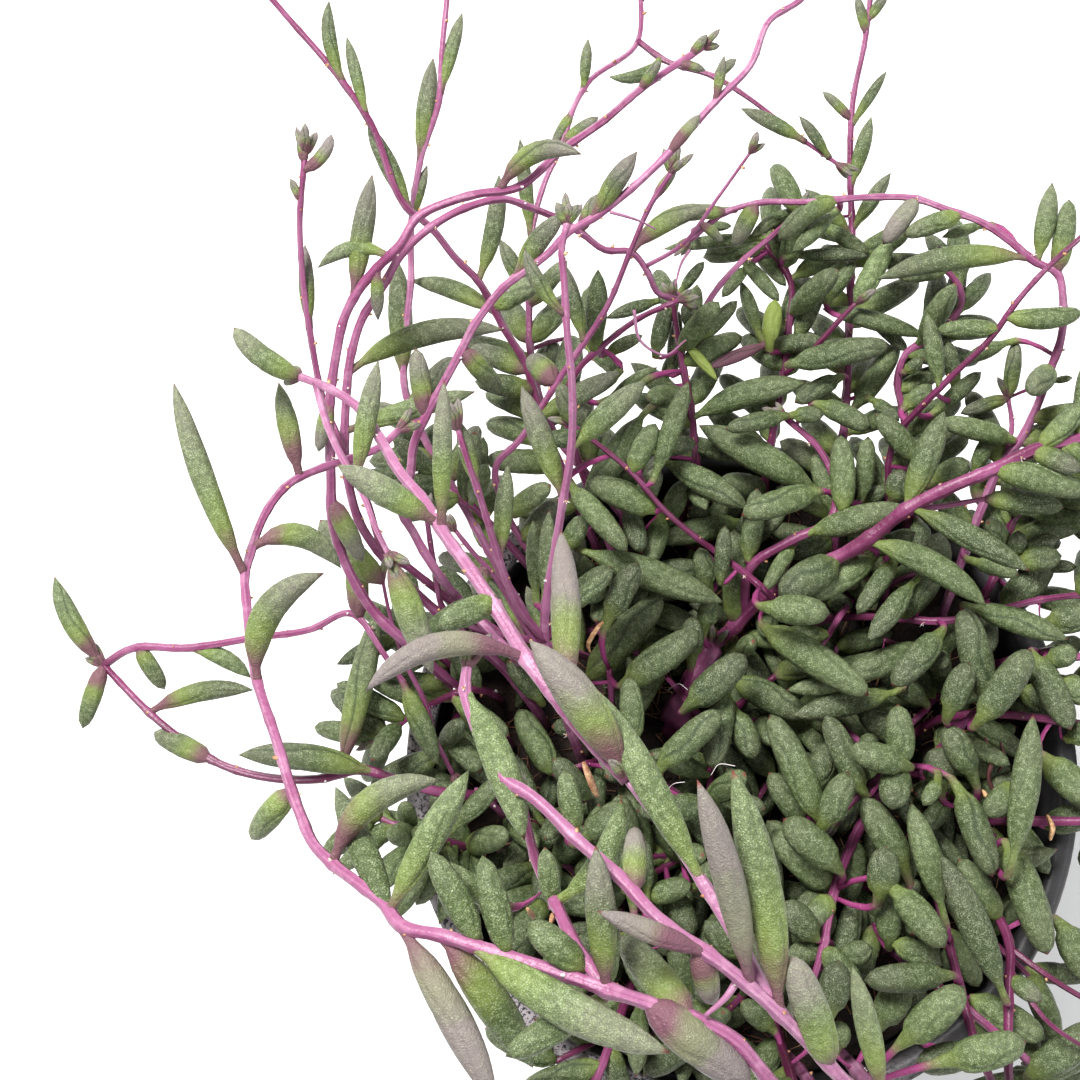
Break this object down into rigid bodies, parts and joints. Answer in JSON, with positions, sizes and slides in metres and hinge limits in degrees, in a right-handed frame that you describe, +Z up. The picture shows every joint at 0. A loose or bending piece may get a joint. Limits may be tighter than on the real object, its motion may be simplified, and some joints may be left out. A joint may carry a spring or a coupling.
{
  "type": "potted trailing succulent",
  "caption": "Trailing succulent with magenta stems and plump spindle-shaped leaves, rooted in the soil of a round nursery pot.",
  "frame": {"origin": "centre of the flat underside of the pot, on which it rests", "axes": "+Z up along the axis of the pot, -Y towards the picture's lower edge, +X towards its right edge"},
  "size_m": [0.2142, 0.2292, 0.2188],
  "materials": {
    "pot": "matte, moulded, with a pale speckled crust on part of the rim",
    "soil": "dark coir and peat mix with tan fibres",
    "foliage": "sage green leaves with a powdery bloom on magenta stems"
  },
  "bodies": {
    "root": {"pot": "pot", "soil": "soil", "front_arch": "foliage", "front_spray": "foliage", "left_spray": "foliage", "arch_outer": "foliage", "arch_inner": "foliage", "arch_tip": "foliage", "arch_short": "foliage", "back_trail": "foliage", "back_upright": "foliage", "high_arch": "foliage", "centre_upright": "foliage", "inner_branch": "foliage", "back_fork": "foliage", "far_upright": "foliage", "right_loop": "foliage", "right_reach": "foliage", "main_stem": "foliage", "slim_cross": "foliage", "right_low": "foliage", "right_trail": "foliage", "front_stub": "foliage", "front_dark": "foliage", "front_right": "foliage", "back_mound_1": "foliage", "back_mound_2": "foliage", "back_mound_3": "foliage", "back_mound_4": "foliage", "right_mound_1": "foliage", "right_mound_2": "foliage", "left_mound_1": "foliage", "left_mound_2": "foliage", "left_mound_3": "foliage", "rim_trail_1": "foliage", "rim_trail_2": "foliage", "rim_trail_3": "foliage", "rim_trail_4": "foliage", "crown_shoot_01": "foliage", "crown_shoot_02": "foliage", "crown_shoot_03": "foliage", "crown_shoot_04": "foliage", "crown_shoot_05": "foliage", "crown_shoot_06": "foliage", "crown_shoot_07": "foliage", "crown_shoot_08": "foliage", "crown_shoot_09": "foliage", "crown_shoot_10": "foliage", "crown_shoot_11": "foliage", "crown_shoot_12": "foliage", "crown_shoot_13": "foliage", "crown_shoot_14": "foliage", "crown_shoot_15": "foliage", "crown_shoot_16": "foliage", "crown_shoot_17": "foliage"}
  },
  "joints": []
}
